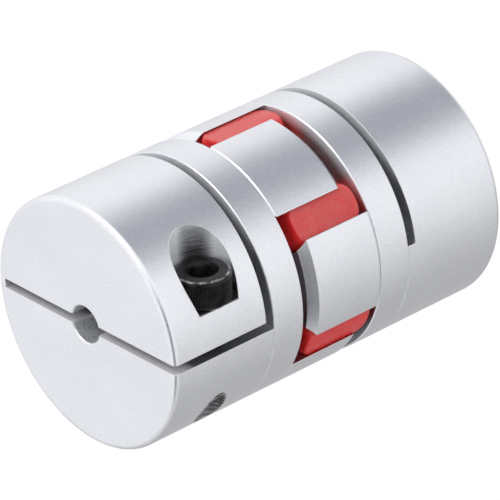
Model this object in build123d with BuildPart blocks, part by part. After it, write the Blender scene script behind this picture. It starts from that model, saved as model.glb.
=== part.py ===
"""Jaw coupling: two clamping hubs, a six-petal spider between their jaws, and two clamp screws.

Millimetres, +Z along the shafts. The coupling stands on the rear hub's end face, and the origin
is the centre of the rear bore in that face. Both hubs are the same part.
"""
import os
from math import radians, tan

from build123d import *

# Whole coupling
outer_diameter = 40.0
overall_length = 66.0
hub_gap = 15.6  # between the hubs' inner faces
bore_diameter = 6.0
rim_round = 0.9  # on the outer end rim
bore_chamfer = 0.18

# Clamp: the hub's outer stretch, sawn free but for a thin web
slit_width = 1.5
web_thickness = 1.6  # the hinge that is left opposite the screw
web_side_drop = 1.8  # the cross cut ends this far below the bore's axis beside the web
flange_thickness = 5.9  # the unslit disc that carries the jaws
turned_line_width = 0.3  # a fine groove in line with the cross cut's inner wall
turned_line_depth = 0.12

# Jaws
jaw_count = 3
jaw_phase = -5.35  # degrees from the web to the middle of the jaw beside it
jaw_tip_gap = 1.9  # from a jaw's tip to the other hub's face
tip_chamfer = 1.3
root_groove_depth = 0.18
root_groove_run = 0.2
face_chamfer = 0.15
jaw_nose_round = 1.3

# Spider
core_inset = 8.0  # from the outside of the hubs to the outside of the ring
core_wall = 3.0
petal_radius = 3.4  # of the rounded outer end
petal_inset = 2.6  # from the outside of the hubs to the middle of a petal's rounded end
land_recess = 0.35  # the petals are cut off this far below the hubs' outside
valley_round = 1.0
spider_end_gap = 1.5
spider_shift = -0.75  # the spider sits nearer to the rear hub
end_round = 1.7
land_round = 0.3
petal_clearance = 0.06

# Clamp screw, a socket head cap screw
screw_diameter = 5.0
screw_length = 14.0
head_diameter = 8.5
head_height = 5.0
head_edge = 0.55
key_size = 4.0
key_depth = 2.5
screw_tip_chamfer = 0.6
screw_inset = 4.4  # from the hub's outside to the screw's axis
screw_shift = 0.9  # from the clamp's middle towards the jaws
seat_height = 6.3  # the head's seat above the bore's axis
pocket_clearance = 0.58  # round the head
pocket_shift = 0.35  # the pocket is milled this much further out than the screw
through_clearance = 0.25
thread_clearance = 0.05

# Worked out from the sizes above
outer_radius = outer_diameter / 2
hub_length = (overall_length - hub_gap) / 2
clamp_length = hub_length - flange_thickness - slit_width
jaw_length = hub_gap - jaw_tip_gap
core_radius = outer_radius - core_inset
petal_centre = outer_radius - petal_inset
land_radius = outer_radius - land_recess
spider_thickness = hub_gap - 2 * spider_end_gap
spider_middle = overall_length / 2 + spider_shift
screw_offset = outer_radius - screw_inset
screw_station = clamp_length / 2 + screw_shift
screw_radius = screw_diameter / 2
head_radius = head_diameter / 2
overcut = 1.0

# The hubs mesh when the rear one is turned so that its jaws fall between the front one's
mesh_turn = -2 * jaw_phase
arm_count = 2 * jaw_count
half_pitch = 180 / arm_count
arm_phase = jaw_phase + mesh_turn + half_pitch
rear_place = Location((0, 0, 0), (0, 0, mesh_turn))
front_place = Location((0, 0, overall_length), (0, 180, 0))


def across_slit(offset, height):
    """Plane that faces along the clamp screw, beside the bore and above the slit's middle."""
    return Plane(origin=(-offset, height, screw_station), x_dir=(1, 0, 0), z_dir=(0, 1, 0))


def petal(radius):
    """Section of one petal: parallel flanks out of the coupling's axis and a rounded outer end."""
    with BuildSketch() as section:
        Circle(radius)
        Rectangle(petal_centre, 2 * radius, align=(Align.MAX, Align.CENTER))
    return section.sketch


# Section of one jaw, on +X: a sector with the petals beside it taken out of its flanks
sector_reach = 2 * outer_radius
sector_rise = sector_reach * tan(radians(half_pitch))
with BuildSketch() as jaw_section:
    Circle(outer_radius + 2 * overcut)
    Polygon((0, 0), (sector_reach, -sector_rise), (sector_reach, sector_rise), mode=Mode.INTERSECT)
    Circle(core_radius + petal_clearance, mode=Mode.SUBTRACT)
    with PolarLocations(petal_centre, 2, start_angle=-half_pitch, angular_range=4 * half_pitch):
        add(petal(petal_radius + petal_clearance), mode=Mode.SUBTRACT)
    fillet(jaw_section.vertices().sort_by(SortBy.DISTANCE)[:2], jaw_nose_round)

# Hub, its end face at Z = 0, its jaws up, its screw on -X and the half that it clamps on +Y
with BuildPart() as hub:
    with BuildSketch(Plane.XZ) as turned_section:
        with BuildLine():
            line_height = clamp_length + slit_width
            Polyline(
                (0, 0),
                (outer_radius, 0),
                (outer_radius, line_height - turned_line_width / 2),
                (outer_radius - turned_line_depth, line_height),
                (outer_radius, line_height + turned_line_width / 2),
                (outer_radius, hub_length - face_chamfer),
                (outer_radius - root_groove_depth, hub_length),
                (outer_radius, hub_length + root_groove_run),
                (outer_radius, hub_length + jaw_length - tip_chamfer),
                (outer_radius - tip_chamfer, hub_length + jaw_length),
                (0, hub_length + jaw_length),
                close=True,
            )
        make_face()
    revolve(axis=Axis.Z)
    fillet(hub.edges().filter_by(GeomType.CIRCLE).sort_by(Axis.Z)[0], rim_round)

    # Everything above the inner face goes, apart from the jaws
    with BuildSketch(Plane.XY.offset(hub_length)):
        Circle(outer_radius + overcut)
        with PolarLocations(0, jaw_count, start_angle=jaw_phase):
            add(jaw_section.sketch, mode=Mode.SUBTRACT)
    extrude(amount=jaw_length + overcut, mode=Mode.SUBTRACT)

    # Bore for the shaft
    with BuildSketch(Plane.XY):
        Circle(bore_diameter / 2)
    extrude(amount=hub_length, mode=Mode.SUBTRACT)
    end_circles = hub.edges().filter_by(GeomType.CIRCLE).group_by(Axis.Z)[0]
    chamfer(end_circles.sort_by(SortBy.RADIUS)[0], bore_chamfer)

    # Slit through the bore, from the screw's side to the web
    with BuildSketch(Plane.XY):
        with Locations((outer_radius - web_thickness, 0)):
            Rectangle(2 * outer_radius + overcut, slit_width, align=(Align.MAX, Align.CENTER))
    extrude(amount=clamp_length + slit_width, mode=Mode.SUBTRACT)

    # Cross cut that frees the clamping half from the flange
    with BuildSketch(Plane.XY.offset(clamp_length)):
        reach = outer_radius + overcut
        Polygon((-reach, -slit_width / 2), (reach, -web_side_drop), (reach, reach), (-reach, reach))
    extrude(amount=slit_width, mode=Mode.SUBTRACT)

    # Head pocket, clearance hole and threaded hole of the clamp screw
    with BuildSketch(across_slit(screw_offset + pocket_shift, seat_height)):
        Circle(head_radius + pocket_clearance)
    extrude(amount=outer_radius, mode=Mode.SUBTRACT)
    with BuildSketch(across_slit(screw_offset, 0)):
        Circle(screw_radius + through_clearance)
    extrude(amount=seat_height, mode=Mode.SUBTRACT)
    with BuildSketch(across_slit(screw_offset, 0)):
        Circle(screw_radius + thread_clearance)
    extrude(amount=-outer_radius, mode=Mode.SUBTRACT)

# Clamp screw, its seat at Z = 0 and its head up
with BuildPart() as clamp_screw:
    with BuildSketch(Plane.XZ):
        with BuildLine():
            Polyline(
                (0, -screw_length),
                (screw_radius - screw_tip_chamfer, -screw_length),
                (screw_radius, -screw_length + screw_tip_chamfer),
                (screw_radius, 0),
                (head_radius - head_edge, 0),
                (head_radius, head_edge),
                (head_radius, head_height - head_edge),
                (head_radius - head_edge, head_height),
                (0, head_height),
                close=True,
            )
        make_face()
    revolve(axis=Axis.Z)
    with BuildSketch(Plane.XY.offset(head_height)):
        RegularPolygon(key_size / 2, 6, major_radius=False)
    extrude(amount=-key_depth, mode=Mode.SUBTRACT)

# Spider: a ring with six petals, rounded at their ends and cut off to a land on the outside
with BuildPart() as spider:
    with BuildSketch(Plane.XY.offset(spider_middle - spider_thickness / 2)) as petals:
        Circle(core_radius)
        with PolarLocations(petal_centre, arm_count, start_angle=arm_phase):
            add(petal(petal_radius))
        valleys = petals.vertices().group_by(SortBy.DISTANCE)[0]
        fillet(valleys, valley_round)
    extrude(amount=spider_thickness)
    fillet(spider.faces().filter_by(Axis.Z).edges(), end_round)
    with BuildSketch(Plane.XY.offset(spider_middle)):
        Circle(land_radius)
    extrude(amount=spider_thickness, both=True, mode=Mode.INTERSECT)
    lands = spider.faces().filter_by(GeomType.CYLINDER).group_by(lambda face: round(face.radius, 3))[-1]
    fillet(lands.edges(), land_round)
    with BuildSketch(Plane.XY.offset(spider_middle)):
        Circle(core_radius - core_wall)
    extrude(amount=spider_thickness, both=True, mode=Mode.SUBTRACT)

with BuildPart() as rear_hub:
    with Locations(rear_place):
        add(hub.part)
with BuildPart() as front_hub:
    with Locations(front_place):
        add(hub.part)
screw_place = across_slit(screw_offset, seat_height).location
with BuildPart() as rear_clamp_screw:
    with Locations(rear_place * screw_place):
        add(clamp_screw.part)
with BuildPart() as front_clamp_screw:
    with Locations(front_place * screw_place):
        add(clamp_screw.part)

os.makedirs("parts", exist_ok=True)
rear_hub.part.label = "rear_hub"
export_step(rear_hub.part, "parts/rear_hub.step")
front_hub.part.label = "front_hub"
export_step(front_hub.part, "parts/front_hub.step")
spider.part.label = "spider"
export_step(spider.part, "parts/spider.step")
rear_clamp_screw.part.label = "rear_clamp_screw"
export_step(rear_clamp_screw.part, "parts/rear_clamp_screw.step")
front_clamp_screw.part.label = "front_clamp_screw"
export_step(front_clamp_screw.part, "parts/front_clamp_screw.step")
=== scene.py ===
# %% [markdown]
# # A jaw coupling with clamping hubs
# The coupling joins two shafts in line. Two aluminium hubs carry three jaws each, a red elastomer
# spider fills the gaps between the jaws, and a socket head screw in each hub closes its bore. The
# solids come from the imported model, so this file only gives them their finish, cuts the threads,
# knurls and countersinks that are too fine for them, and sets up the light and the camera.

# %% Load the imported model
from math import cos, pi, radians, sin, tau

import bpy
from mathutils import Matrix, Vector


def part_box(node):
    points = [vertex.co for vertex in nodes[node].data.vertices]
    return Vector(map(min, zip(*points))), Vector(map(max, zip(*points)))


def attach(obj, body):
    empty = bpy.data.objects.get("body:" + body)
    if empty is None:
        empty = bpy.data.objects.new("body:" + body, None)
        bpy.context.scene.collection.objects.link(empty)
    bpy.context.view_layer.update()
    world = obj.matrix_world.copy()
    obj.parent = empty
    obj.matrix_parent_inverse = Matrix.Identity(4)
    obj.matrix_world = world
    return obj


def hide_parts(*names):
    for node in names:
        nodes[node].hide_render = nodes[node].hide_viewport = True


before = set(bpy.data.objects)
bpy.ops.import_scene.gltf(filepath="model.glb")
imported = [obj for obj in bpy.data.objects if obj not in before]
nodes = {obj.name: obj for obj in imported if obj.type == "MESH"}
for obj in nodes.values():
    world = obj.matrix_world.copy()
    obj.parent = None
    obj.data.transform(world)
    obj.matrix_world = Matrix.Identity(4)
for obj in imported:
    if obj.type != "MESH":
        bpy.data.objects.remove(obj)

MM = 0.001
scene = bpy.context.scene
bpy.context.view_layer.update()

# %% [markdown]
# ## Sizes that the finish needs
# Blender's unit is the metre and the coupling is only 66 mm long, so its sizes are written in
# millimetres and multiplied once. What the model's boxes can tell is read from them: the hub's
# outside, and the axis, head and seat of the front screw, which stands square to the axes. The boxes
# don't tell the rest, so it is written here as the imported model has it.

# %% Sizes of the hubs
hub_low, hub_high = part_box("front_hub")
outer_radius = (hub_high.y - hub_low.y) / 2
overall_length = hub_high.z
bore_radius = 3.0 * MM
slit_width = 1.5 * MM
mesh_turn = radians(10.7)  # the rear hub's jaws fall between the front one's
print("hub radius", round(outer_radius / MM, 2), "mm, length of both", round(overall_length / MM, 2), "mm")

# %% Sizes of the screw's head and its pocket
screw_low, screw_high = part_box("front_clamp_screw")
screw_axis = (screw_low + screw_high) / 2
head_radius = (screw_high.z - screw_low.z) / 2
head_height = 5.0 * MM
seat_height = screw_high.y - head_height
pocket_shift = 0.35 * MM  # the pocket is milled this much further out than the screw
pocket_clearance = 0.58 * MM
pocket_offset = screw_axis.x + pocket_shift
pocket_radius = head_radius + pocket_clearance
print("screw axis", [round(v / MM, 2) for v in screw_axis], "mm, seat", round(seat_height / MM, 2), "mm")

# %% [markdown]
# ## Helpers for node trees
# Shader trees and geometry trees are both lists of nodes and links. A few helpers keep the cells
# below readable. One adds a node and fills its inputs, with a link where the value is another node's
# output. Two make a group and place it, and the last ones are the nodes that come up most often:
# Math, Map Range, and a vector's numbers.

# %% Adding and linking nodes
def add_node(tree, kind, inputs=None, **settings):
    """Adds a node; inputs are values or other nodes' outputs, by name or number."""
    made = tree.nodes.new(kind)
    for name, value in settings.items():
        setattr(made, name, value)
    for name, value in (inputs or {}).items():
        if isinstance(value, bpy.types.NodeSocket):
            tree.links.new(value, made.inputs[name])
        else:
            made.inputs[name].default_value = value
    return made


def connect(tree, node, values):
    """Links other nodes' outputs to a node's inputs, by name."""
    for name, value in values.items():
        tree.links.new(value, node.inputs[name])

# %% Groups
def new_tree(name, kind, inputs, outputs):
    """A node group with these sockets; returns it with its input and output nodes."""
    tree = bpy.data.node_groups.new(name, kind)
    for in_out, sockets in (("INPUT", inputs), ("OUTPUT", outputs)):
        for socket_name, socket_type in sockets.items():
            tree.interface.new_socket(socket_name, in_out=in_out, socket_type="NodeSocket" + socket_type)
    return tree, tree.nodes.new("NodeGroupInput"), tree.nodes.new("NodeGroupOutput")


def use_group(tree, group, inputs):
    """Places a group in another tree."""
    kind = "GeometryNodeGroup" if group.bl_idname == "GeometryNodeTree" else "ShaderNodeGroup"
    return add_node(tree, kind, inputs, node_tree=group)


def tell_size(tree, name):
    """Prints how big a tree is."""
    print(name, "has", len(tree.nodes), "nodes and", len(tree.links), "links")

# %% Numbers and vectors
def calc(tree, operation, *terms, clamp=False):
    """The result of one Math node."""
    made = add_node(tree, "ShaderNodeMath", dict(enumerate(terms)), operation=operation, use_clamp=clamp)
    return made.outputs[0]


def chain(tree, operation, result, *others):
    """Takes one Math operation through several terms."""
    for other in others:
        result = calc(tree, operation, result, other)
    return result


def remap(tree, value, start, end, low=0.0, high=1.0, kind="LINEAR"):
    """Carries a value from start..end to low..high, and keeps it inside."""
    made = add_node(
        tree, "ShaderNodeMapRange",
        {"Value": value, "From Min": start, "From Max": end, "To Min": low, "To Max": high},
        interpolation_type=kind,
    )
    return made.outputs[0]


def split(tree, vector):
    """X, Y and Z of a vector."""
    return add_node(tree, "ShaderNodeSeparateXYZ", {0: vector}).outputs


def length(tree, vector):
    """How long a vector is."""
    return add_node(tree, "ShaderNodeVectorMath", {0: vector}, operation="LENGTH").outputs["Value"]

# %% [markdown]
# ## Shader group: fine grain
# The hubs are blasted before they are anodised, so up close the metal is a field of tiny dull pits.
# A group makes that once: two noises at different scales give a fine mask and a cloudy one. Each
# material places it with its own grain size, so the same group also serves the screws and the spider.

# %% Fine grain
def make_grain_group():
    tree, given, result = new_tree(
        "fine_grain", "ShaderNodeTree",
        {"Grain Size": "Float", "Cloud Size": "Float"},
        {"Grain": "Float", "Cloud": "Float"},
    )
    place = add_node(tree, "ShaderNodeTexCoord").outputs["Object"]
    for size, detail, output in (("Grain Size", 2.0, "Grain"), ("Cloud Size", 3.0, "Cloud")):
        scale = calc(tree, "DIVIDE", 1.0, given.outputs[size])
        noise = add_node(tree, "ShaderNodeTexNoise", {"Vector": place, "Scale": scale, "Detail": detail})
        connect(tree, result, {output: noise.outputs["Fac"]})
    return tree


grain_group = make_grain_group()
tell_size(grain_group, "fine grain")

# %% [markdown]
# ## Shader group: edges
# No machined edge is perfectly sharp, and its rounding catches a narrow line of light. The Bevel node
# bends the normal near an edge without touching the mesh, and where the bent normal differs from the
# surface's own there is an edge. The group gives both, the normal and a mask where the aluminium gets a
# painted highlight, a lighter colour along the edge.

# %% Edges
def make_edge_group():
    tree, given, result = new_tree(
        "machined_edges", "ShaderNodeTree",
        {"Edge Width": "Float"},
        {"Normal": "Vector", "Edge": "Float"},
    )
    bevel = add_node(tree, "ShaderNodeBevel", {"Radius": given.outputs["Edge Width"]}, samples=6)
    surface = add_node(tree, "ShaderNodeNewGeometry").outputs["Normal"]
    alike = add_node(
        tree, "ShaderNodeVectorMath", {0: bevel.outputs[0], 1: surface}, operation="DOT_PRODUCT"
    ).outputs["Value"]
    hardly_bent, full_edge = 0.995, 0.8
    edge = remap(tree, alike, hardly_bent, full_edge)
    connect(tree, result, {"Normal": bevel.outputs[0], "Edge": edge})
    return tree


edge_group = make_edge_group()
tell_size(edge_group, "machined edges")

# %% [markdown]
# ## Shader group: cut walls
# The slit is sawn and the screw's pocket is milled, so their walls aren't as smooth as the turned
# outside. They belong to the same solid, and a solid has one material, so the group finds them by
# their place in the hub. A wall of the slit lies within half a cut's width of the plane through the
# bore and faces it, and only the stretch near the end face is seen. The pocket's wall and floor lie
# within its radius of its axis. A painted shade darkens them towards the seat, and it reaches higher
# on the wall that faces the hub's outside and end face.

# %% Place and facing in a hub's own frame
facing_square = 0.9  # a normal's part along an axis, for a wall that faces along it


def in_hub(tree, turn):
    """X, Y and Z of the place and of the normal, with the hub's own turn taken back."""
    sources = (
        add_node(tree, "ShaderNodeTexCoord").outputs["Object"],
        add_node(tree, "ShaderNodeNewGeometry").outputs["True Normal"],
    )
    turned = [
        add_node(
            tree, "ShaderNodeVectorRotate", {"Vector": source, "Angle": turn},
            rotation_type="Z_AXIS", invert=True,
        )
        for source in sources
    ]
    return [split(tree, node.outputs[0]) for node in turned]

# %% Sawn walls of the slit
def mark_slit(tree, size, place, facing):
    """Near the slit's middle plane and facing it; whole at the end face, gone past the fade."""
    reach = calc(tree, "MULTIPLY", size["Slit Width"], 0.55)  # half the width and a little more
    near_middle = calc(tree, "LESS_THAN", calc(tree, "ABSOLUTE", place["Y"]), reach)
    across = calc(tree, "GREATER_THAN", calc(tree, "ABSOLUTE", facing["Y"]), facing_square)
    depth = calc(tree, "ABSOLUTE", calc(tree, "SUBTRACT", place["Z"], size["Slit End"]))
    lit = remap(tree, calc(tree, "DIVIDE", depth, size["Slit Fade"]), 1.0, 0.5)
    return chain(tree, "MULTIPLY", near_middle, across, lit)

# %% Milled walls of the pocket, and the painted shade on them
def mark_pocket(tree, size, place):
    """Masks for the pocket and its painted shade; heights are above the seat, in seat heights."""
    aside = calc(tree, "SUBTRACT", place["X"], size["Pocket X"])
    along = calc(tree, "SUBTRACT", place["Z"], size["Pocket Z"])
    out = length(tree, add_node(tree, "ShaderNodeCombineXYZ", {0: aside, 1: along}).outputs[0])
    near = calc(tree, "LESS_THAN", out, calc(tree, "MULTIPLY", size["Pocket Radius"], 1.01))
    above = calc(tree, "SUBTRACT", place["Y"], size["Seat Height"])
    rise = calc(tree, "DIVIDE", above, size["Seat Height"])
    pocket = calc(tree, "MULTIPLY", near, calc(tree, "GREATER_THAN", rise, -0.02))

    # Painted shade: low all round near the seat, and higher on the side that faces outside and to the end
    # face
    low_shade_end, high_shade_start, high_shade_end = 0.87, 0.883, 2.5
    slant = radians(25)  # the high oil's direction, from straight across the shafts
    low_shade = remap(tree, rise, low_shade_end, 0.0)
    inward = calc(tree, "MULTIPLY_ADD", aside, cos(slant), calc(tree, "MULTIPLY", along, sin(slant)))
    to_shaft = calc(tree, "MULTIPLY", calc(tree, "SIGN", size["Pocket X"]), -1.0)
    share = calc(tree, "DIVIDE", calc(tree, "MULTIPLY", inward, to_shaft), size["Pocket Radius"])
    climb = remap(tree, share, 0.78, 1.0, kind="SMOOTHSTEP")
    left_over = remap(tree, rise, high_shade_end, high_shade_start, 0.0, 0.97)
    pocket_shade = calc(tree, "MAXIMUM", low_shade, calc(tree, "MULTIPLY", climb, left_over))
    return pocket, calc(tree, "MULTIPLY", pocket, pocket_shade)

# %% Cut walls
def make_cut_group():
    tree, given, result = new_tree(
        "cut_walls", "ShaderNodeTree",
        {"Turn": "Float", "Slit Width": "Float", "Slit End": "Float", "Slit Fade": "Float",
         "Pocket X": "Float", "Pocket Z": "Float", "Pocket Radius": "Float", "Seat Height": "Float"},
        {"Slit": "Float", "Pocket": "Float", "Pocket Shade": "Float"},
    )
    size = given.outputs
    place, facing = in_hub(tree, size["Turn"])
    pocket, pocket_shade = mark_pocket(tree, size, place)
    connect(tree, result, {"Slit": mark_slit(tree, size, place, facing), "Pocket": pocket, "Pocket Shade": pocket_shade})
    return tree


cut_group = make_cut_group()
tell_size(cut_group, "cut walls")

# %% [markdown]
# ## Material helpers
# Each material is one Principled BSDF. Values that are the same all over are set on its own sockets,
# and only what changes over the surface comes through links, because an exported model keeps the
# first as plain numbers and the second as a picture.

# %% Material helpers
def new_material(name, constants):
    """A material whose Principled BSDF has these constants on its own sockets."""
    material = bpy.data.materials.new(name)
    material.use_nodes = True
    tree = material.node_tree
    shader = next(node for node in tree.nodes if node.type == "BSDF_PRINCIPLED")
    for socket, value in constants.items():
        shader.inputs[socket].default_value = value
    return material, tree, shader


def mix_colours(tree, share, start, end, blend_type="MIX"):
    """From colour start to colour end as share goes from 0 to 1; each is three numbers or an output."""
    start, end = [c if isinstance(c, bpy.types.NodeSocket) else (*c, 1.0) for c in (start, end)]
    mixed = add_node(
        tree, "ShaderNodeMix", {0: share, 6: start, 7: end}, data_type="RGBA", blend_type=blend_type
    )
    return mixed.outputs[2]


def spread(tree, noise, low=0.0, high=1.0):
    """Noise stays near its middle, so 0.3 to 0.7 is stretched to low and high."""
    return remap(tree, noise, 0.3, 0.7, low, high)


def pitted_normal(tree, grain, strength, depth, edges=None):
    """The normal over the grain's pits, rounded at machined edges where there are any."""
    inputs = {"Strength": strength, "Distance": depth, "Height": grain.outputs["Grain"]}
    if edges:
        inputs["Normal"] = edges.outputs["Normal"]
    return add_node(tree, "ShaderNodeBump", inputs).outputs[0]


def from_shafts(tree):
    """Distance from the shafts' axis."""
    place = add_node(tree, "ShaderNodeTexCoord").outputs["Object"]
    flat = add_node(tree, "ShaderNodeVectorMath", {0: place, 1: (1.0, 1.0, 0.0)}, operation="MULTIPLY")
    return length(tree, flat.outputs[0])

# %% [markdown]
# ## Satin aluminium: where the hubs aren't plain
# Most of a hub is the same satin metal, but the cuts aren't. Walls between the hubs and in the cross
# cuts are turned or sawn, so they scatter light near the rim, and their low side gets a painted shade.
# The tools leave fine marks: round the screw in its pocket, and round the shafts in the bore and the slit.
# Each of these is a mask made from place and facing, which needs no picture and no unwrapping.

# %% The cuts of both hubs
def cut_masks(tree):
    """Slit, pocket and the pocket's painted shade, wherever either hub has them."""
    slit_fade = 4.0 * MM
    hubs = (
        (0.0, overall_length, pocket_offset, screw_axis.z),
        (mesh_turn, 0.0, -pocket_offset, overall_length - screw_axis.z),
    )
    walls = []
    for turn, slit_end, pocket_x, pocket_z in hubs:
        sizes = {
            "Turn": turn, "Slit Width": slit_width, "Slit End": slit_end, "Slit Fade": slit_fade,
            "Pocket X": pocket_x, "Pocket Z": pocket_z, "Pocket Radius": pocket_radius,
            "Seat Height": seat_height,
        }
        walls.append(use_group(tree, cut_group, sizes))
    masks = ("Slit", "Pocket", "Pocket Shade")
    return [calc(tree, "MAXIMUM", *(wall.outputs[mask] for wall in walls)) for mask in masks]

# %% Walls square to the shafts, inside the coupling
def gap_masks(tree, pocket):
    """How much the walls scatter near the rim, and how much painted shade lies on their low side."""
    place = split(tree, add_node(tree, "ShaderNodeTexCoord").outputs["Object"])
    facing = split(tree, add_node(tree, "ShaderNodeNewGeometry").outputs["True Normal"])
    square = calc(tree, "GREATER_THAN", calc(tree, "ABSOLUTE", facing["Z"]), facing_square)
    from_middle = calc(tree, "ABSOLUTE", calc(tree, "SUBTRACT", place["Z"], overall_length / 2))
    inside = calc(tree, "LESS_THAN", from_middle, overall_length / 2 - 1.0 * MM)
    wall = chain(tree, "MULTIPLY", square, inside, calc(tree, "SUBTRACT", 1.0, pocket))
    rim = remap(tree, from_shafts(tree), outer_radius - 2.2 * MM, outer_radius, 0.0, 0.75)
    high_side = remap(tree, place["Y"], 10.0 * MM, 15.5 * MM)
    # Painted shade on the walls' low side, darkest at the bottom
    low_side = remap(tree, place["Y"], -7.0 * MM, 1.0 * MM, 0.75, 0.0)
    return chain(tree, "MULTIPLY", wall, rim, high_side), calc(tree, "MULTIPLY", wall, low_side)

# %% Tool marks
def tool_marks(tree, pocket, bored):
    """Noise that is stretched along the tool's way: in the pocket, or in the bore and the slit."""
    round_screw, round_shafts = (0.12, 1.0, 0.12), (0.35, 0.35, 1.0)
    mark_size = 0.25 * MM
    squeeze = add_node(
        tree, "ShaderNodeMix", {0: bored, 4: round_screw, 5: round_shafts}, data_type="VECTOR"
    ).outputs[1]
    place = add_node(tree, "ShaderNodeTexCoord").outputs["Object"]
    drawn = add_node(tree, "ShaderNodeVectorMath", {0: place, 1: squeeze}, operation="MULTIPLY")
    noise = add_node(
        tree, "ShaderNodeTexNoise", {"Vector": drawn.outputs[0], "Scale": 1 / mark_size, "Detail": 1.0}
    )
    strength = calc(tree, "MAXIMUM", pocket, calc(tree, "MULTIPLY", bored, 1.4))
    return calc(tree, "MULTIPLY", strength, remap(tree, noise.outputs["Fac"], 0.35, 0.65, -0.07, 0.07))

# %% [markdown]
# ## Satin anodised aluminium
# The real hubs are turned, milled, blasted and anodised, so they are bright but never mirror-like.
# One metal does it: the grain sets its tint and its gloss, and the masks above lay the sawn walls, a
# painted shade in the pocket and on the low walls, and a painted highlight along the edges over it.
# Where a wall scatters light, the metal gives way to a plain matt surface, because a rough cut shows its
# own brightness more than a reflection.

# %% Aluminium's colour
def aluminium_colour(tree, grain, edges, slit, dark):
    body = mix_colours(tree, spread(tree, grain.outputs["Cloud"]), (0.87, 0.88, 0.905), (0.91, 0.92, 0.94))
    pits = mix_colours(tree, spread(tree, grain.outputs["Grain"]), (0.78, 0.78, 0.78), (1.0, 1.0, 1.0))
    blasted = mix_colours(tree, 0.5, body, pits, "MULTIPLY")
    sawn = mix_colours(tree, slit, blasted, (0.62, 0.62, 0.64))
    # Painted shade: the pocket near the seat and the low walls between the hubs go nearly black, with the
    # tool marks in it
    shaded_and_marked = mix_colours(tree, dark, sawn, (0.04, 0.04, 0.042))
    # Painted highlight: a lighter colour along the machined edges
    return mix_colours(tree, edges.outputs["Edge"], shaded_and_marked, (0.95, 0.95, 0.96))

# %% Satin anodised aluminium
def make_aluminium():
    material, tree, shader = new_material("satin_anodised_aluminium", {})
    grain = use_group(tree, grain_group, {"Grain Size": 0.26 * MM, "Cloud Size": 9.0 * MM})
    edges = use_group(tree, edge_group, {"Edge Width": 0.14 * MM})
    slit, pocket, pocket_shade = cut_masks(tree)
    gap_scatter, gap_shade = gap_masks(tree, pocket)
    in_bore = calc(tree, "LESS_THAN", from_shafts(tree), bore_radius + 0.1 * MM)
    marks = tool_marks(tree, pocket, calc(tree, "MAXIMUM", in_bore, slit))

    # Painted shade in the pocket and on the low walls, plus the tool marks
    dark = calc(tree, "ADD", calc(tree, "MAXIMUM", pocket_shade, gap_shade), marks, clamp=True)
    bore_scatter = calc(tree, "MULTIPLY", in_bore, 0.3)
    pocket_scatter = calc(tree, "MULTIPLY", pocket, 0.75)
    scatter = chain(tree, "MAXIMUM", slit, gap_scatter, bore_scatter, pocket_scatter)
    satin = calc(tree, "ADD", spread(tree, grain.outputs["Grain"], 0.33, 0.40), marks)
    cut_rough = calc(tree, "MULTIPLY_ADD", slit, 0.2, calc(tree, "MULTIPLY", pocket, 0.1))
    connect(tree, shader, {
        "Base Color": aluminium_colour(tree, grain, edges, slit, dark),
        "Metallic": remap(tree, scatter, 0.0, 1.0, 1.0, 0.1),
        "Roughness": calc(tree, "ADD", satin, cut_rough),
        "Normal": pitted_normal(tree, grain, 0.16, 0.02 * MM, edges),
    })
    tell_size(tree, "satin aluminium")
    return material


aluminium = make_aluminium()

# %% [markdown]
# ## Bare aluminium in the tapped holes
# A tap cuts through the anodised skin, and its oil stays between the turns of the thread. The grey is
# far darker than the hubs', partly for that oil and partly as a painted shade inside the hole, and as
# the metal never reflects cleanly there, a plain grey that is partly metal is enough.

# %% Tapped aluminium
def make_tapped_aluminium():
    material, tree, shader = new_material("tapped_aluminium", {"Metallic": 0.6, "Roughness": 0.38})
    grain = use_group(tree, grain_group, {"Grain Size": 0.2 * MM, "Cloud Size": 2.0 * MM})
    # Darker grey: oil in the thread, and a painted shade inside the hole
    oil_and_shade_grey = mix_colours(tree, spread(tree, grain.outputs["Cloud"]), (0.36, 0.36, 0.37), (0.47, 0.47, 0.47))
    connect(tree, shader, {"Base Color": oil_and_shade_grey})
    tell_size(tree, "tapped aluminium")
    return material


tapped_aluminium = make_tapped_aluminium()

# %% [markdown]
# ## Red polyurethane
# The spider is moulded in a soft plastic that lets a little light in, so its thin edges glow where
# they would otherwise be dark. Subsurface scattering does that. The lands of the petals, just below the
# hubs' outside, are found by their distance from the axis and turn paler: pale dust in specks, and a
# painted sheen that is stronger on the side that faces the lamp.

# %% Red polyurethane
def make_polyurethane():
    material, tree, shader = new_material("red_polyurethane", {
        "Subsurface Weight": 0.8,
        "Subsurface Radius": (1.0, 0.12, 0.10),
        "Subsurface Scale": 2.2 * MM,
    })
    grain = use_group(tree, grain_group, {"Grain Size": 0.22 * MM, "Cloud Size": 3.0 * MM})
    cloud = grain.outputs["Cloud"]
    clean = mix_colours(tree, spread(tree, cloud), (0.70, 0.023, 0.024), (0.81, 0.036, 0.036))
    on_land = remap(tree, from_shafts(tree), outer_radius - 0.8 * MM, outer_radius - 0.4 * MM)
    facing = split(tree, add_node(tree, "ShaderNodeNewGeometry").outputs["Normal"])
    # Painted sheen: paler on the side that faces the lamp
    high_side = remap(tree, facing["Y"], -0.4, 0.4)
    specks = remap(tree, grain.outputs["Grain"], 0.34, 0.66, 0.15, 1.2)
    drifts = remap(tree, cloud, 0.36, 0.64, 0.65, 1.1)
    # Pale dust in specks and drifts, together with the painted sheen
    dust_and_sheen = chain(tree, "MULTIPLY", on_land, high_side, specks, drifts)
    connect(tree, shader, {
        "Base Color": mix_colours(tree, dust_and_sheen, clean, (0.62, 0.13, 0.12)),
        "Roughness": spread(tree, grain.outputs["Grain"], 0.28, 0.42),
        "Normal": pitted_normal(tree, grain, 0.8, 0.05 * MM),
    })
    tell_size(tree, "red polyurethane")
    return material


polyurethane = make_polyurethane()

# %% [markdown]
# ## Black oxide
# The screws are steel with a black oxide skin and a film of oil: nearly black, with a soft gloss.
# Handling rubs the skin off the head's rim, where bare steel shows in patches. The screw's mesh carries
# a mark for that rim, made further down, and the material reads it as an attribute.

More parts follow.
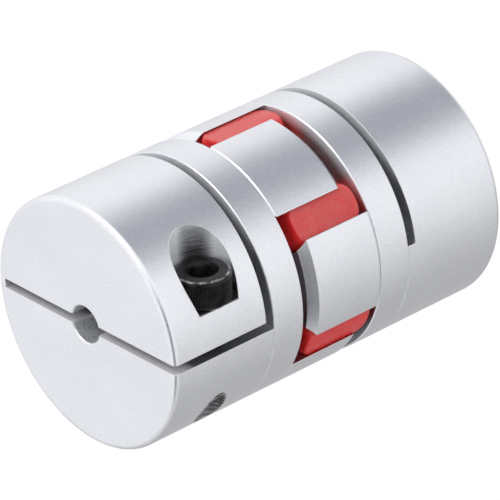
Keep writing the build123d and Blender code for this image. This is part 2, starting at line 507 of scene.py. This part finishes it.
# %% Black oxide, rubbed bare along the head's rim
def make_black_oxide():
    material, tree, shader = new_material("black_oxide_steel", {"Specular IOR Level": 0.2})
    grain = use_group(tree, grain_group, {"Grain Size": 0.28 * MM, "Cloud Size": 1.4 * MM})
    edges = use_group(tree, edge_group, {"Edge Width": 0.1 * MM})
    cloud = grain.outputs["Cloud"]
    black = mix_colours(tree, spread(tree, cloud), (0.004, 0.004, 0.005), (0.020, 0.020, 0.020))
    brink = add_node(tree, "ShaderNodeAttribute", attribute_type="GEOMETRY", attribute_name="brink")
    patches = remap(tree, cloud, 0.45, 0.60, 0.12, 0.95)
    rubbed = calc(tree, "MULTIPLY", brink.outputs["Fac"], patches)
    connect(tree, shader, {
        "Base Color": mix_colours(tree, rubbed, black, (0.55, 0.55, 0.55)),
        "Metallic": rubbed,
        "Roughness": spread(tree, grain.outputs["Grain"], 0.16, 0.26),
        "Normal": pitted_normal(tree, grain, 0.12, 0.02 * MM, edges),
    })
    tell_size(tree, "black oxide")
    return material


black_oxide = make_black_oxide()

# %% [markdown]
# ## Dressing the solids
# The hubs and the spider are shown as the model has them, so they only take their materials. The two
# screws of the model are hidden later, when the finer ones replace them.

# %% The solids that stay take their materials
for name, material in (("front_hub", aluminium), ("rear_hub", aluminium), ("spider", polyurethane)):
    mesh = nodes[name].data
    mesh.materials.clear()
    mesh.materials.append(material)
    print(name, "is", material.name)

# %% [markdown]
# ## Geometry group: thread radius
# A screw thread is a ridge that climbs one pitch each turn. Seen along one line beside the axis it
# is a row of trapezoids, so the radius follows from two numbers: the angle round the axis and the
# height along it. The group works that out as a field, and both the screw and the tapped hole use it,
# which puts their turns in step.

# %% Thread radius
def make_thread_group():
    tree, given, result = new_tree(
        "thread_radius", "GeometryNodeTree",
        {"Angle": "Float", "Height": "Float", "Pitch": "Float",
         "Root Radius": "Float", "Crest Radius": "Float"},
        {"Radius": "Float"},
    )
    size = given.outputs
    turns = calc(tree, "DIVIDE", size["Height"], size["Pitch"])
    phase = calc(tree, "SUBTRACT", turns, calc(tree, "DIVIDE", size["Angle"], tau))
    sweep = calc(tree, "MULTIPLY", calc(tree, "FRACT", phase), 2.0)
    wave = calc(tree, "ABSOLUTE", calc(tree, "SUBTRACT", sweep, 1.0))
    flat = 0.15  # the flat at the root and at the crest, each as a share of the wave
    radius = remap(tree, wave, flat, 1.0 - flat, size["Root Radius"], size["Crest Radius"])
    connect(tree, result, {"Radius": radius})
    return tree


thread_group = make_thread_group()
tell_size(thread_group, "thread radius")

# %% [markdown]
# ## Geometry group: wrapped grid
# Turned shapes are all the same idea: a flat grid whose columns are wrapped round an axis. The group
# makes the grid and gives, for each point, its angle and the number of its ring. The trees below only
# say how far out and how high each ring lies.

# %% Wrapped grid
def make_wrap_group():
    tree, given, result = new_tree(
        "wrapped_grid", "GeometryNodeTree",
        {"Steps Round": "Int", "Rings": "Int"},
        {"Mesh": "Geometry", "Angle": "Float", "Ring": "Float"},
    )
    rings = given.outputs["Rings"]
    columns = calc(tree, "ADD", given.outputs["Steps Round"], 1.0)
    grid = add_node(
        tree, "GeometryNodeMeshGrid",
        {"Size X": 1.0, "Size Y": 1.0, "Vertices X": columns, "Vertices Y": rings},
    )
    flat = split(tree, add_node(tree, "GeometryNodeInputPosition").outputs[0])
    angle = calc(tree, "MULTIPLY", calc(tree, "ADD", flat["X"], 0.5), tau)
    share = calc(tree, "ADD", flat["Y"], 0.5)
    ring = calc(tree, "ROUND", calc(tree, "MULTIPLY", share, calc(tree, "SUBTRACT", rings, 1.0)))
    kept = add_node(tree, "GeometryNodeCaptureAttribute", {"Geometry": grid.outputs["Mesh"]})
    kept.capture_items.new("FLOAT", "Angle")
    kept.capture_items.new("FLOAT", "Ring")
    connect(tree, kept, {"Angle": angle, "Ring": ring})
    wrapped = kept.outputs
    connect(tree, result, {"Mesh": wrapped["Geometry"], "Angle": wrapped["Angle"], "Ring": wrapped["Ring"]})
    return tree


wrap_group = make_wrap_group()
tell_size(wrap_group, "wrapped grid")

# %% [markdown]
# ## Last steps that the trees share
# A wrapped grid still has an open seam and a ring of points on each pole, so its doubles are merged.
# Every tree then ends alike: smooth faces that stay sharp past 35 degrees, real geometry instead of
# instances, and one material.

# %% Placing and finishing a turned mesh
def wrap_round(tree, mesh, angle, radius, height):
    """Sets each point of a wrapped grid by angle, radius and height, and closes the seam and poles."""
    x = calc(tree, "MULTIPLY", calc(tree, "COSINE", angle), radius)
    y = calc(tree, "MULTIPLY", calc(tree, "SINE", angle), radius)
    place = add_node(tree, "ShaderNodeCombineXYZ", {0: x, 1: y, 2: height}).outputs[0]
    placed = add_node(tree, "GeometryNodeSetPosition", {"Geometry": mesh, "Position": place}).outputs[0]
    return add_node(tree, "GeometryNodeMergeByDistance", {"Geometry": placed, "Distance": 1e-7}).outputs[0]


def finish_tree(tree, mesh, material, result):
    """Smooth faces with sharp edges, real geometry and one material."""
    between_faces = add_node(tree, "GeometryNodeInputMeshEdgeAngle").outputs["Unsigned Angle"]
    sharp = calc(tree, "GREATER_THAN", between_faces, radians(35))
    smooth = add_node(
        tree, "GeometryNodeSetShadeSmooth", {"Geometry": mesh, "Shade Smooth": True}, domain="FACE"
    )
    creased = add_node(
        tree, "GeometryNodeSetShadeSmooth",
        {"Geometry": smooth.outputs[0], "Selection": sharp, "Shade Smooth": False}, domain="EDGE",
    )
    real = add_node(tree, "GeometryNodeRealizeInstances", {"Geometry": creased.outputs[0]})
    dressed = add_node(tree, "GeometryNodeSetMaterial", {"Geometry": real.outputs[0], "Material": material})
    connect(tree, result, {"Geometry": dressed.outputs[0]})

# %% [markdown]
# ## Geometry tree: socket head cap screw
# The screw is two wrapped grids. The head is turned from a short outline, and its side is pressed in
# at each groove of the knurl. The shank's rings follow the thread group down to a chamfered tip. Then a
# six-sided prism and a cone are cut out of the head for the key and for the countersink at its mouth.

# %% Head of the screw
def turn_head(tree, size):
    """Rings from the outline's points; in the knurl's stretch the side is pressed in at each groove."""
    steps_each_groove = 6.0
    points = add_node(tree, "GeometryNodeAttributeDomainSize", {0: size["Outline"]}, component="CURVE")
    steps = calc(tree, "MULTIPLY", size["Knurl Count"], steps_each_groove)
    head = use_group(tree, wrap_group, {"Steps Round": steps, "Rings": points.outputs["Point Count"]})
    angle = head.outputs["Angle"]
    position = add_node(tree, "GeometryNodeInputPosition").outputs[0]
    outline_point = add_node(
        tree, "GeometryNodeSampleIndex", {0: size["Outline"], 1: position, "Index": head.outputs["Ring"]},
        data_type="FLOAT_VECTOR", domain="POINT",
    )
    radius, _, height = split(tree, outline_point.outputs[0])
    above_low = calc(tree, "GREATER_THAN", height, size["Knurl Low"])
    below_high = calc(tree, "LESS_THAN", height, size["Knurl High"])
    on_side = calc(tree, "GREATER_THAN", radius, calc(tree, "MULTIPLY", size["Head Radius"], 0.98))
    wave = calc(tree, "COSINE", calc(tree, "MULTIPLY", angle, size["Knurl Count"]))
    groove = calc(tree, "MULTIPLY_ADD", wave, 0.5, 0.5)
    pressed = chain(tree, "MULTIPLY", groove, size["Knurl Depth"], above_low, below_high, on_side)
    return wrap_round(tree, head.outputs["Mesh"], angle, calc(tree, "SUBTRACT", radius, pressed), height)

# %% Shank of the screw
def turn_shank(tree, size):
    """Threaded rings from just inside the head to the tip, with a flat cap at each end."""
    ring_count = 200
    shank = use_group(tree, wrap_group, {"Steps Round": 72, "Rings": ring_count})
    angle, ring = shank.outputs["Angle"], shank.outputs["Ring"]
    share = calc(tree, "DIVIDE", calc(tree, "SUBTRACT", ring, 1.0), float(ring_count - 3), clamp=True)
    top = calc(tree, "MULTIPLY", size["Head Height"], 0.1)
    reach = calc(tree, "ADD", size["Length"], top)
    height = calc(tree, "SUBTRACT", top, calc(tree, "MULTIPLY", share, reach))
    thread = use_group(
        tree, thread_group,
        {"Angle": angle, "Height": height, "Pitch": size["Pitch"],
         "Root Radius": size["Root Radius"], "Crest Radius": size["Screw Radius"]},
    )
    tip_radius = calc(tree, "SUBTRACT", size["Screw Radius"], size["Tip Chamfer"])
    chamfered = chain(tree, "ADD", tip_radius, height, size["Length"])
    radius = calc(tree, "MINIMUM", thread.outputs["Radius"], chamfered)
    not_first = calc(tree, "GREATER_THAN", ring, 0.5)
    not_last = calc(tree, "LESS_THAN", ring, ring_count - 1.5)
    capped = chain(tree, "MULTIPLY", radius, not_first, not_last)
    return wrap_round(tree, shank.outputs["Mesh"], angle, capped, height)

# %% Cutters for the key socket and its countersink
def key_cutters(tree, size):
    """A six-sided prism, and a cone that widens upwards; both reach as far out of the head as in."""
    half_key = calc(tree, "MULTIPLY", size["Key Size"], 0.5)
    prism = add_node(
        tree, "GeometryNodeMeshCylinder",
        {"Vertices": 6, "Radius": calc(tree, "DIVIDE", half_key, cos(radians(30))),
         "Depth": calc(tree, "MULTIPLY", size["Key Depth"], 2.0)},
    )
    sink_run = calc(tree, "SUBTRACT", size["Mouth Radius"], half_key)
    sink_depth = calc(tree, "MULTIPLY", sink_run, 1.7)
    sink = add_node(
        tree, "GeometryNodeMeshCone",
        {"Vertices": 96, "Radius Top": calc(tree, "ADD", size["Mouth Radius"], sink_run),
         "Radius Bottom": half_key, "Depth": calc(tree, "MULTIPLY", sink_depth, 2.0)},
    )
    cutters = add_node(tree, "GeometryNodeJoinGeometry")
    sink_base = calc(tree, "SUBTRACT", size["Head Height"], sink_depth)
    for cutter, height in ((prism, size["Head Height"]), (sink, sink_base)):
        up = add_node(tree, "ShaderNodeCombineXYZ", {2: height}).outputs[0]
        raised = add_node(
            tree, "GeometryNodeTransform", {"Geometry": cutter.outputs["Mesh"], "Translation": up}
        )
        tree.links.new(raised.outputs[0], cutters.inputs[0])
    return cutters.outputs[0]

# %% Mark for the rubbed rim of the head
def mark_brink(tree, size, mesh):
    """Marks the points just below the top and far from the axis; it comes last, as a cut loses marks."""
    position = add_node(tree, "GeometryNodeInputPosition").outputs[0]
    below_top = calc(tree, "SUBTRACT", size["Head Height"], split(tree, position)["Z"])
    under_face = calc(tree, "GREATER_THAN", below_top, 0.01 * MM)
    near_face = calc(tree, "LESS_THAN", below_top, 0.2 * MM)
    from_seat = length(tree, position)
    outer = calc(tree, "GREATER_THAN", from_seat, calc(tree, "MULTIPLY", size["Head Height"], 1.2))
    marked = add_node(
        tree, "GeometryNodeStoreNamedAttribute",
        {"Geometry": mesh, "Name": "brink", "Value": chain(tree, "MULTIPLY", under_face, near_face, outer)},
        data_type="FLOAT", domain="POINT",
    )
    return marked.outputs[0]

# %% Cap screw tree
def make_screw_tree():
    tree, given, result = new_tree(
        "socket_head_cap_screw", "GeometryNodeTree",
        {"Outline": "Geometry", "Head Radius": "Float", "Head Height": "Float", "Knurl Count": "Int",
         "Knurl Depth": "Float", "Knurl Low": "Float", "Knurl High": "Float", "Key Size": "Float",
         "Key Depth": "Float", "Mouth Radius": "Float", "Screw Radius": "Float", "Root Radius": "Float",
         "Pitch": "Float", "Length": "Float", "Tip Chamfer": "Float", "Material": "Material"},
        {"Geometry": "Geometry"},
    )
    size = given.outputs
    head = turn_head(tree, size)
    screw = add_node(tree, "GeometryNodeMeshBoolean", {"Mesh": head}, operation="UNION", solver="EXACT")
    connect(tree, screw, {"Mesh": turn_shank(tree, size)})
    cut = add_node(
        tree, "GeometryNodeMeshBoolean",
        {0: screw.outputs[0], 1: key_cutters(tree, size), "Self Intersection": True},
        operation="DIFFERENCE", solver="EXACT",
    )
    finish_tree(tree, mark_brink(tree, size, cut.outputs[0]), size["Material"], result)
    return tree


screw_tree = make_screw_tree()
tell_size(screw_tree, "cap screw tree")

# %% [markdown]
# ## Geometry tree: tapped thread
# The tapped hole is a plain bore in the solids. A tube lines it: its inner side follows the thread
# group, a little wider than the screw, and its outer side hides in the hub's metal. The hole leaves the
# hub through its round outside, so the tube is cut off by a cylinder as wide as the hub.

# %% Lining of the hole
def turn_lining(tree, size):
    """Threaded rings, then two plain rings behind them, and the first ring again to close the tube."""
    ring_count = 172
    last_threaded = ring_count - 4
    tube = use_group(tree, wrap_group, {"Steps Round": 60, "Rings": ring_count})
    angle, ring = tube.outputs["Angle"], tube.outputs["Ring"]
    past_thread, past_far_back, past_near_back = [
        calc(tree, "GREATER_THAN", ring, last_threaded + step + 0.5) for step in range(3)
    ]
    share = calc(tree, "DIVIDE", ring, float(last_threaded), clamp=True)
    share = calc(tree, "MULTIPLY", share, calc(tree, "SUBTRACT", 1.0, past_far_back))
    down = calc(tree, "MULTIPLY", share, size["Length"])
    height = calc(tree, "SUBTRACT", calc(tree, "MULTIPLY", size["Start"], -1.0), down)
    thread = use_group(
        tree, thread_group,
        {"Angle": angle, "Height": height, "Pitch": size["Pitch"],
         "Root Radius": size["Root Radius"], "Crest Radius": size["Crest Radius"]},
    )
    on_back = calc(tree, "SUBTRACT", past_thread, past_near_back)
    radius = add_node(
        tree, "ShaderNodeMix", {0: on_back, 2: thread.outputs["Radius"], 3: size["Back Radius"]},
        data_type="FLOAT",
    )
    return wrap_round(tree, tube.outputs["Mesh"], angle, radius.outputs[0], height)

# %% The hub's outside, as a cylinder across the screw
def hub_outside(tree, size):
    """In the screw's frame; long enough to take in the whole hole."""
    depth = calc(tree, "MULTIPLY", size["Hub Radius"], 0.6)
    outside = add_node(
        tree, "GeometryNodeMeshCylinder", {"Vertices": 256, "Radius": size["Hub Radius"], "Depth": depth}
    )
    aside = calc(tree, "MULTIPLY", size["Offset"], -1.0)
    below = calc(tree, "MULTIPLY", size["Seat Height"], -1.0)
    middle = add_node(tree, "ShaderNodeCombineXYZ", {0: aside, 2: below}).outputs[0]
    laid = add_node(
        tree, "GeometryNodeTransform",
        {"Geometry": outside.outputs["Mesh"], "Translation": middle, "Rotation": (radians(90), 0.0, 0.0)},
    )
    return laid.outputs[0]

# %% Tapped thread tree
def make_tapped_tree():
    tree, given, result = new_tree(
        "tapped_thread", "GeometryNodeTree",
        {"Root Radius": "Float", "Crest Radius": "Float", "Back Radius": "Float", "Pitch": "Float",
         "Start": "Float", "Length": "Float", "Hub Radius": "Float", "Offset": "Float",
         "Seat Height": "Float", "Material": "Material"},
        {"Geometry": "Geometry"},
    )
    size = given.outputs
    lining = turn_lining(tree, size)
    trimmed = add_node(
        tree, "GeometryNodeMeshBoolean", {"Mesh": lining}, operation="INTERSECT", solver="EXACT"
    )
    connect(tree, trimmed, {"Mesh": hub_outside(tree, size)})
    finish_tree(tree, trimmed.outputs[0], size["Material"], result)
    return tree


tapped_tree = make_tapped_tree()
tell_size(tapped_tree, "tapped thread tree")

# %% [markdown]
# ## Running a tree
# A tree runs as a modifier on an object. Its inputs are set through their identifiers, and the
# evaluated result becomes a plain mesh. The object then goes, and its modifier with it, so only the
# mesh is left, at the origin.

# %% Tree runner
def grow(name, tree, sizes, start=None):
    """Runs a tree on a curve, or on an empty mesh, and returns what it makes."""
    holder = bpy.data.objects.new(name, start or bpy.data.meshes.new(name))
    scene.collection.objects.link(holder)
    modifier = holder.modifiers.new("grow", "NODES")
    modifier.node_group = tree
    for item in tree.interface.items_tree:
        if item.in_out == "INPUT" and item.name in sizes:
            modifier[item.identifier] = sizes[item.name]
    holder.update_tag()
    depsgraph = bpy.context.evaluated_depsgraph_get()
    mesh = bpy.data.meshes.new_from_object(holder.evaluated_get(depsgraph), depsgraph=depsgraph)
    bpy.data.objects.remove(holder)
    mesh.name = name
    print(name, "has", len(mesh.polygons), "faces")
    return mesh

# %% [markdown]
# ## The cap screw
# An M5 screw has a thread of 0.8 mm pitch, and its head takes a 4 mm key. The head's outline runs from
# its middle on the seat to its middle on top: a chamfer, the side with two close points at each end of
# the knurl, and an edge that is rounded in three steps.

# %% Sizes of the screw
head_edge = 0.55 * MM
screw_radius = 2.5 * MM
thread_root_radius = 2.03 * MM
thread_pitch = 0.8 * MM
screw_length = seat_height - screw_low.y
knurl_low = 0.6 * MM
knurl_high = head_height - 0.75 * MM
print("the screw is", round(screw_length / MM, 2), "mm long under its head")

# %% Outline of the head
def head_outline():
    knurl_run_out = 0.12 * MM
    # How far in from the side and how far down from the top each point of the rounded edge lies
    edge_points = ((0.0, 0.5), (0.07, 0.26), (0.24, 0.08), (0.48, 0.0))
    corners = [
        (0.0, 0.0),
        (head_radius - head_edge, 0.0),
        (head_radius, head_edge),
        (head_radius, knurl_low),
        (head_radius, knurl_low + knurl_run_out),
        (head_radius, knurl_high - knurl_run_out),
        (head_radius, knurl_high),
        *((head_radius - run * MM, head_height - drop * MM) for run, drop in edge_points),
        (0.0, head_height),
    ]
    curve = bpy.data.curves.new("screw_head_outline", "CURVE")
    curve.dimensions = "3D"
    line = curve.splines.new("POLY")
    line.points.add(len(corners) - 1)
    for point, (radius, height) in zip(line.points, corners):
        point.co = (radius, 0.0, height, 1.0)
    print("outline of the head has", len(corners), "points")
    return curve

# %% Make the screw once, upright, its seat at the origin
inside_knurl = 0.01 * MM  # leaves the outline's points at both ends of the knurl unpressed
screw_mesh = grow(
    "cap_screw", screw_tree,
    {"Head Radius": head_radius, "Head Height": head_height, "Knurl Count": 72, "Knurl Depth": 0.2 * MM,
     "Knurl Low": knurl_low + inside_knurl, "Knurl High": knurl_high - inside_knurl,
     "Key Size": 4.0 * MM, "Key Depth": 2.5 * MM, "Mouth Radius": 2.48 * MM,
     "Screw Radius": screw_radius, "Root Radius": thread_root_radius, "Pitch": thread_pitch,
     "Length": screw_length, "Tip Chamfer": 0.6 * MM, "Material": black_oxide},
    start=head_outline(),
)

# %% [markdown]
# ## The tapped thread
# The thread in the hub starts just below the slit and runs out through the hub's outside. It is made in
# the screw's own frame, from the screw's sizes and a clearance, so that both can be placed alike.

# %% Make the tapped thread once
thread_clearance = 0.04 * MM
lining_mesh = grow(
    "tapped_thread", tapped_tree,
    {"Root Radius": thread_root_radius + thread_clearance, "Crest Radius": screw_radius + thread_clearance,
     "Back Radius": screw_radius + 0.1 * MM, "Pitch": thread_pitch,
     "Start": seat_height + slit_width / 2 + 0.05 * MM, "Length": 15.5 * MM,
     "Hub Radius": outer_radius - 0.01 * MM, "Offset": screw_axis.x, "Seat Height": seat_height,
     "Material": tapped_aluminium},
)

# %% [markdown]
# ## Placing both in each hub
# The screw lies across the shafts, so its mesh is turned a quarter and moved to its seat. The rear hub
# is the front one turned end for end and then by the angle that lets the jaws mesh, and the same two
# turns carry the screw and the thread over. Each screw replaces the plain one of the model.

# %% Add the pieces
def add_piece(name, mesh, place):
    """A copy of a mesh at its place, as a piece of the coupling."""
    mesh = mesh.copy()
    mesh.transform(place)
    piece = bpy.data.objects.new(name, mesh)
    scene.collection.objects.link(piece)
    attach(piece, "root")
    return piece


end_for_end = Matrix.Rotation(pi, 4, "Y") @ Matrix.Translation((0, 0, -overall_length))
hub_to_hub = Matrix.Rotation(mesh_turn, 4, "Z") @ end_for_end
seat = Matrix.Translation((screw_axis.x, seat_height, screw_axis.z))
front_place = seat @ Matrix.Rotation(radians(-90), 4, "X")
for name, place in (("front", front_place), ("rear", hub_to_hub @ front_place)):
    screw = add_piece(name + "_cap_screw", screw_mesh, place)
    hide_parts(name + "_clamp_screw")
    add_piece(name + "_tapped_thread", lining_mesh, place)
    solid_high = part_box(name + "_clamp_screw")[1]
    off = [max(v.co[axis] for v in screw.data.vertices) - solid_high[axis] for axis in range(3)]
    print(name, "screw reaches past its solid by", [round(v / MM, 3) for v in off], "mm")

# %% [markdown]
# ## Floor
# The coupling stands on a pale floor. The camera sees it nearly white, as the background of a product
# photograph, while every other ray meets plain pale grey. Reflections skip it, so the hubs' lower side
# mirrors the sky below the horizon instead of the floor.

# %% Floor
def make_floor():
    half = 2.0
    mesh = bpy.data.meshes.new("floor")
    corners = [(-half, -half, 0), (half, -half, 0), (half, half, 0), (-half, half, 0)]
    mesh.from_pydata(corners, [], [(0, 1, 2, 3)])
    material = bpy.data.materials.new("pale_floor")
    material.use_nodes = True
    tree = material.node_tree
    tree.nodes.clear()
    matt = add_node(tree, "ShaderNodeBsdfDiffuse", {"Color": (0.86, 0.86, 0.86, 1.0)})
    white = add_node(tree, "ShaderNodeEmission", {"Color": (1.0, 1.0, 1.0, 1.0), "Strength": 1.05})
    seen = add_node(tree, "ShaderNodeLightPath").outputs["Is Camera Ray"]
    mostly_seen = calc(tree, "MULTIPLY", seen, 0.9)
    mixed = add_node(tree, "ShaderNodeMixShader", {0: mostly_seen, 1: matt.outputs[0], 2: white.outputs[0]})
    output = add_node(tree, "ShaderNodeOutputMaterial", {"Surface": mixed.outputs[0]})
    output.is_active_output = True
    mesh.materials.append(material)
    floor = bpy.data.objects.new("floor", mesh)
    scene.collection.objects.link(floor)
    floor.visible_glossy = False
    print("floor is", 2 * half, "m wide")


make_floor()

# %% [markdown]
# ## Sky with soft cards
# Satin metal shows whatever lies in the mirrored direction, so a plain white sky would leave the hubs
# flat. Soft cards in a few directions dim the sky or lift it a little, as the flags and reflectors of a
# photographer do. The first two give the cylinder its bands. The next two trim what the outline and the
# end face mirror, and the dark ones at the end shade the jaws' chamfers. The camera sees plain white,
# because its rays skip the cards.

# %% Directions
def direction(azimuth, elevation):
    """Unit vector at an azimuth from +X towards +Y, in degrees."""
    tilt = Matrix.Rotation(radians(elevation), 3, "Y") @ Matrix.Rotation(radians(-azimuth), 3, "Z")
    return Vector((1, 0, 0)) @ tilt

# %% Cards
# Azimuth and elevation of each card's middle, the half-angles between which it fades out, and how
# much red, green and blue it lets through
cards = (
    (85, -35, 6, 34, (0.29, 0.30, 0.34)),
    (-100, -35, 10, 92, (0.47, 0.465, 0.46)),
    (-150, -35, 5, 40, (1.14, 1.14, 1.15)),
    (-144, 35, 8, 40, (0.94, 0.94, 0.95)),
    (1, 45, 8, 27, (0.03, 0.03, 0.04)),
    (-43, 39, 7, 25, (0.04, 0.04, 0.05)),
)
print("the sky has", len(cards), "cards")

# %% Sky
def make_sky():
    world = bpy.data.worlds.new("studio")
    scene.world = world
    world.use_nodes = True
    tree = world.node_tree
    tree.nodes.clear()
    gaze = add_node(tree, "ShaderNodeTexCoord").outputs["Generated"]
    light = add_node(tree, "ShaderNodeCombineColor", {0: 1.05, 1: 1.055, 2: 1.08}).outputs[0]
    for azimuth, elevation, inner, outer, tint in cards:
        middle = direction(azimuth, elevation)
        toward = add_node(tree, "ShaderNodeVectorMath", {0: gaze, 1: middle}, operation="DOT_PRODUCT")
        near, far = cos(radians(inner)), cos(radians(outer))
        shade = remap(tree, toward.outputs["Value"], far, near, kind="SMOOTHSTEP")
        light = mix_colours(tree, shade, light, tint, "MULTIPLY")
    soft = add_node(tree, "ShaderNodeBackground", {"Color": light, "Strength": 1.0})
    plain = add_node(tree, "ShaderNodeBackground", {"Color": (1.0, 1.0, 1.0, 1.0), "Strength": 1.0})
    seen = add_node(tree, "ShaderNodeLightPath").outputs["Is Camera Ray"]
    mixed = add_node(tree, "ShaderNodeMixShader", {0: seen, 1: soft.outputs[0], 2: plain.outputs[0]})
    add_node(tree, "ShaderNodeOutputWorld", {"Surface": mixed.outputs[0]})
    tell_size(tree, "sky")


make_sky()

# %% [markdown]
# ## Lamp
# The sky gives nearly all of the light. One round lamp on the upper side adds a soft highlight along
# the hubs and a shadow with a direction.

# %% Key lamp
def add_lamp(name, azimuth, elevation, distance, size, power):
    light = bpy.data.lights.new(name, "AREA")
    light.shape = "DISK"
    light.size = size
    light.energy = power
    lamp = bpy.data.objects.new(name, light)
    toward = direction(azimuth, elevation)
    lamp.location = toward * distance
    lamp.rotation_euler = toward.to_track_quat("Z", "Y").to_euler()
    scene.collection.objects.link(lamp)
    print(name, "stands at", [round(v, 2) for v in lamp.location], "m")


add_lamp("key_lamp", azimuth=99, elevation=37, distance=0.7, size=0.3, power=0.9)

# %% [markdown]
# ## Camera
# A long lens far away, tilted on its side: the photograph shows the coupling lying across the frame
# from lower left to upper right, although here it stands upright, so the camera rolls. Its angles were
# fitted to the outlines of the hubs.

# %% Camera
def add_camera():
    azimuth, elevation, roll = 35.853, 34.988, -115.325
    distance = 715.3 * MM
    aim = Vector((0.02, -0.51, 33.40)) * MM
    data = bpy.data.cameras.new("camera")
    data.sensor_width = 36.0
    data.lens = 341.76
    data.clip_start, data.clip_end = 0.05, 20.0
    camera = bpy.data.objects.new("camera", data)
    toward = direction(azimuth, elevation)
    camera.location = aim + toward * distance
    level = toward.to_track_quat("Z", "Y").to_matrix()
    camera.rotation_euler = (level @ Matrix.Rotation(radians(roll), 3, "Z")).to_euler()
    scene.collection.objects.link(camera)
    scene.camera = camera
    print("camera is", round(distance, 3), "m away, with a lens of", data.lens, "mm")


add_camera()
scene.view_settings.view_transform = "Standard"
